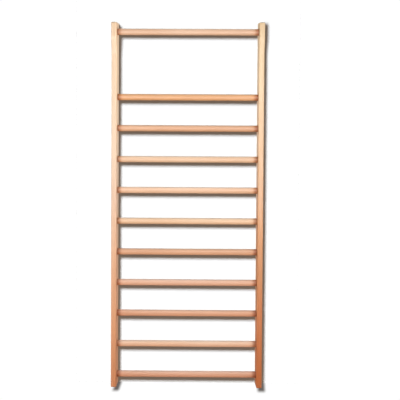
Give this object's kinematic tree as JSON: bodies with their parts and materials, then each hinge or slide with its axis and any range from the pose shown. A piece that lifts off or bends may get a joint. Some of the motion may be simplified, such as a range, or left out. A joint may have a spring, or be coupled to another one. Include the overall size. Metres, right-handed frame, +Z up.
{
  "type": "swedish wall bars",
  "caption": "Tall wooden wall-bar frame for gymnastics: side uprights with forward-reaching heads joined by a ladder of oval rungs, the top rung set forward above a wider gap.",
  "frame": {"origin": "on the floor, at the middle of the part's box", "axes": "+Z up along the uprights, +X to the right along the rungs, +Y to the wall, so the climber stands on the -Y side"},
  "size_m": [1, 0.134, 2.425],
  "materials": {
    "upright_wood": "clear satin lacquer on pinkish-orange beech",
    "rung_wood": "clear satin lacquer on pinkish-orange beech",
    "screw_steel": "zinc plated"
  },
  "bodies": {
    "root": {"left_upright": "upright_wood", "right_upright": "upright_wood", "rung_01": "rung_wood", "rung_02": "rung_wood", "rung_03": "rung_wood", "rung_04": "rung_wood", "rung_05": "rung_wood", "rung_06": "rung_wood", "rung_07": "rung_wood", "rung_08": "rung_wood", "rung_09": "rung_wood", "rung_10": "rung_wood", "top_rung": "rung_wood", "rung_01_screw_left": "screw_steel", "rung_01_screw_right": "screw_steel", "rung_02_screw_left": "screw_steel", "rung_02_screw_right": "screw_steel", "rung_03_screw_left": "screw_steel", "rung_03_screw_right": "screw_steel", "rung_04_screw_left": "screw_steel", "rung_04_screw_right": "screw_steel", "rung_05_screw_left": "screw_steel", "rung_05_screw_right": "screw_steel", "rung_06_screw_left": "screw_steel", "rung_06_screw_right": "screw_steel", "rung_07_screw_left": "screw_steel", "rung_07_screw_right": "screw_steel", "rung_08_screw_left": "screw_steel", "rung_08_screw_right": "screw_steel", "rung_09_screw_left": "screw_steel", "rung_09_screw_right": "screw_steel", "rung_10_screw_left": "screw_steel", "rung_10_screw_right": "screw_steel", "top_rung_screw_left": "screw_steel", "top_rung_screw_right": "screw_steel"}
  },
  "joints": []
}
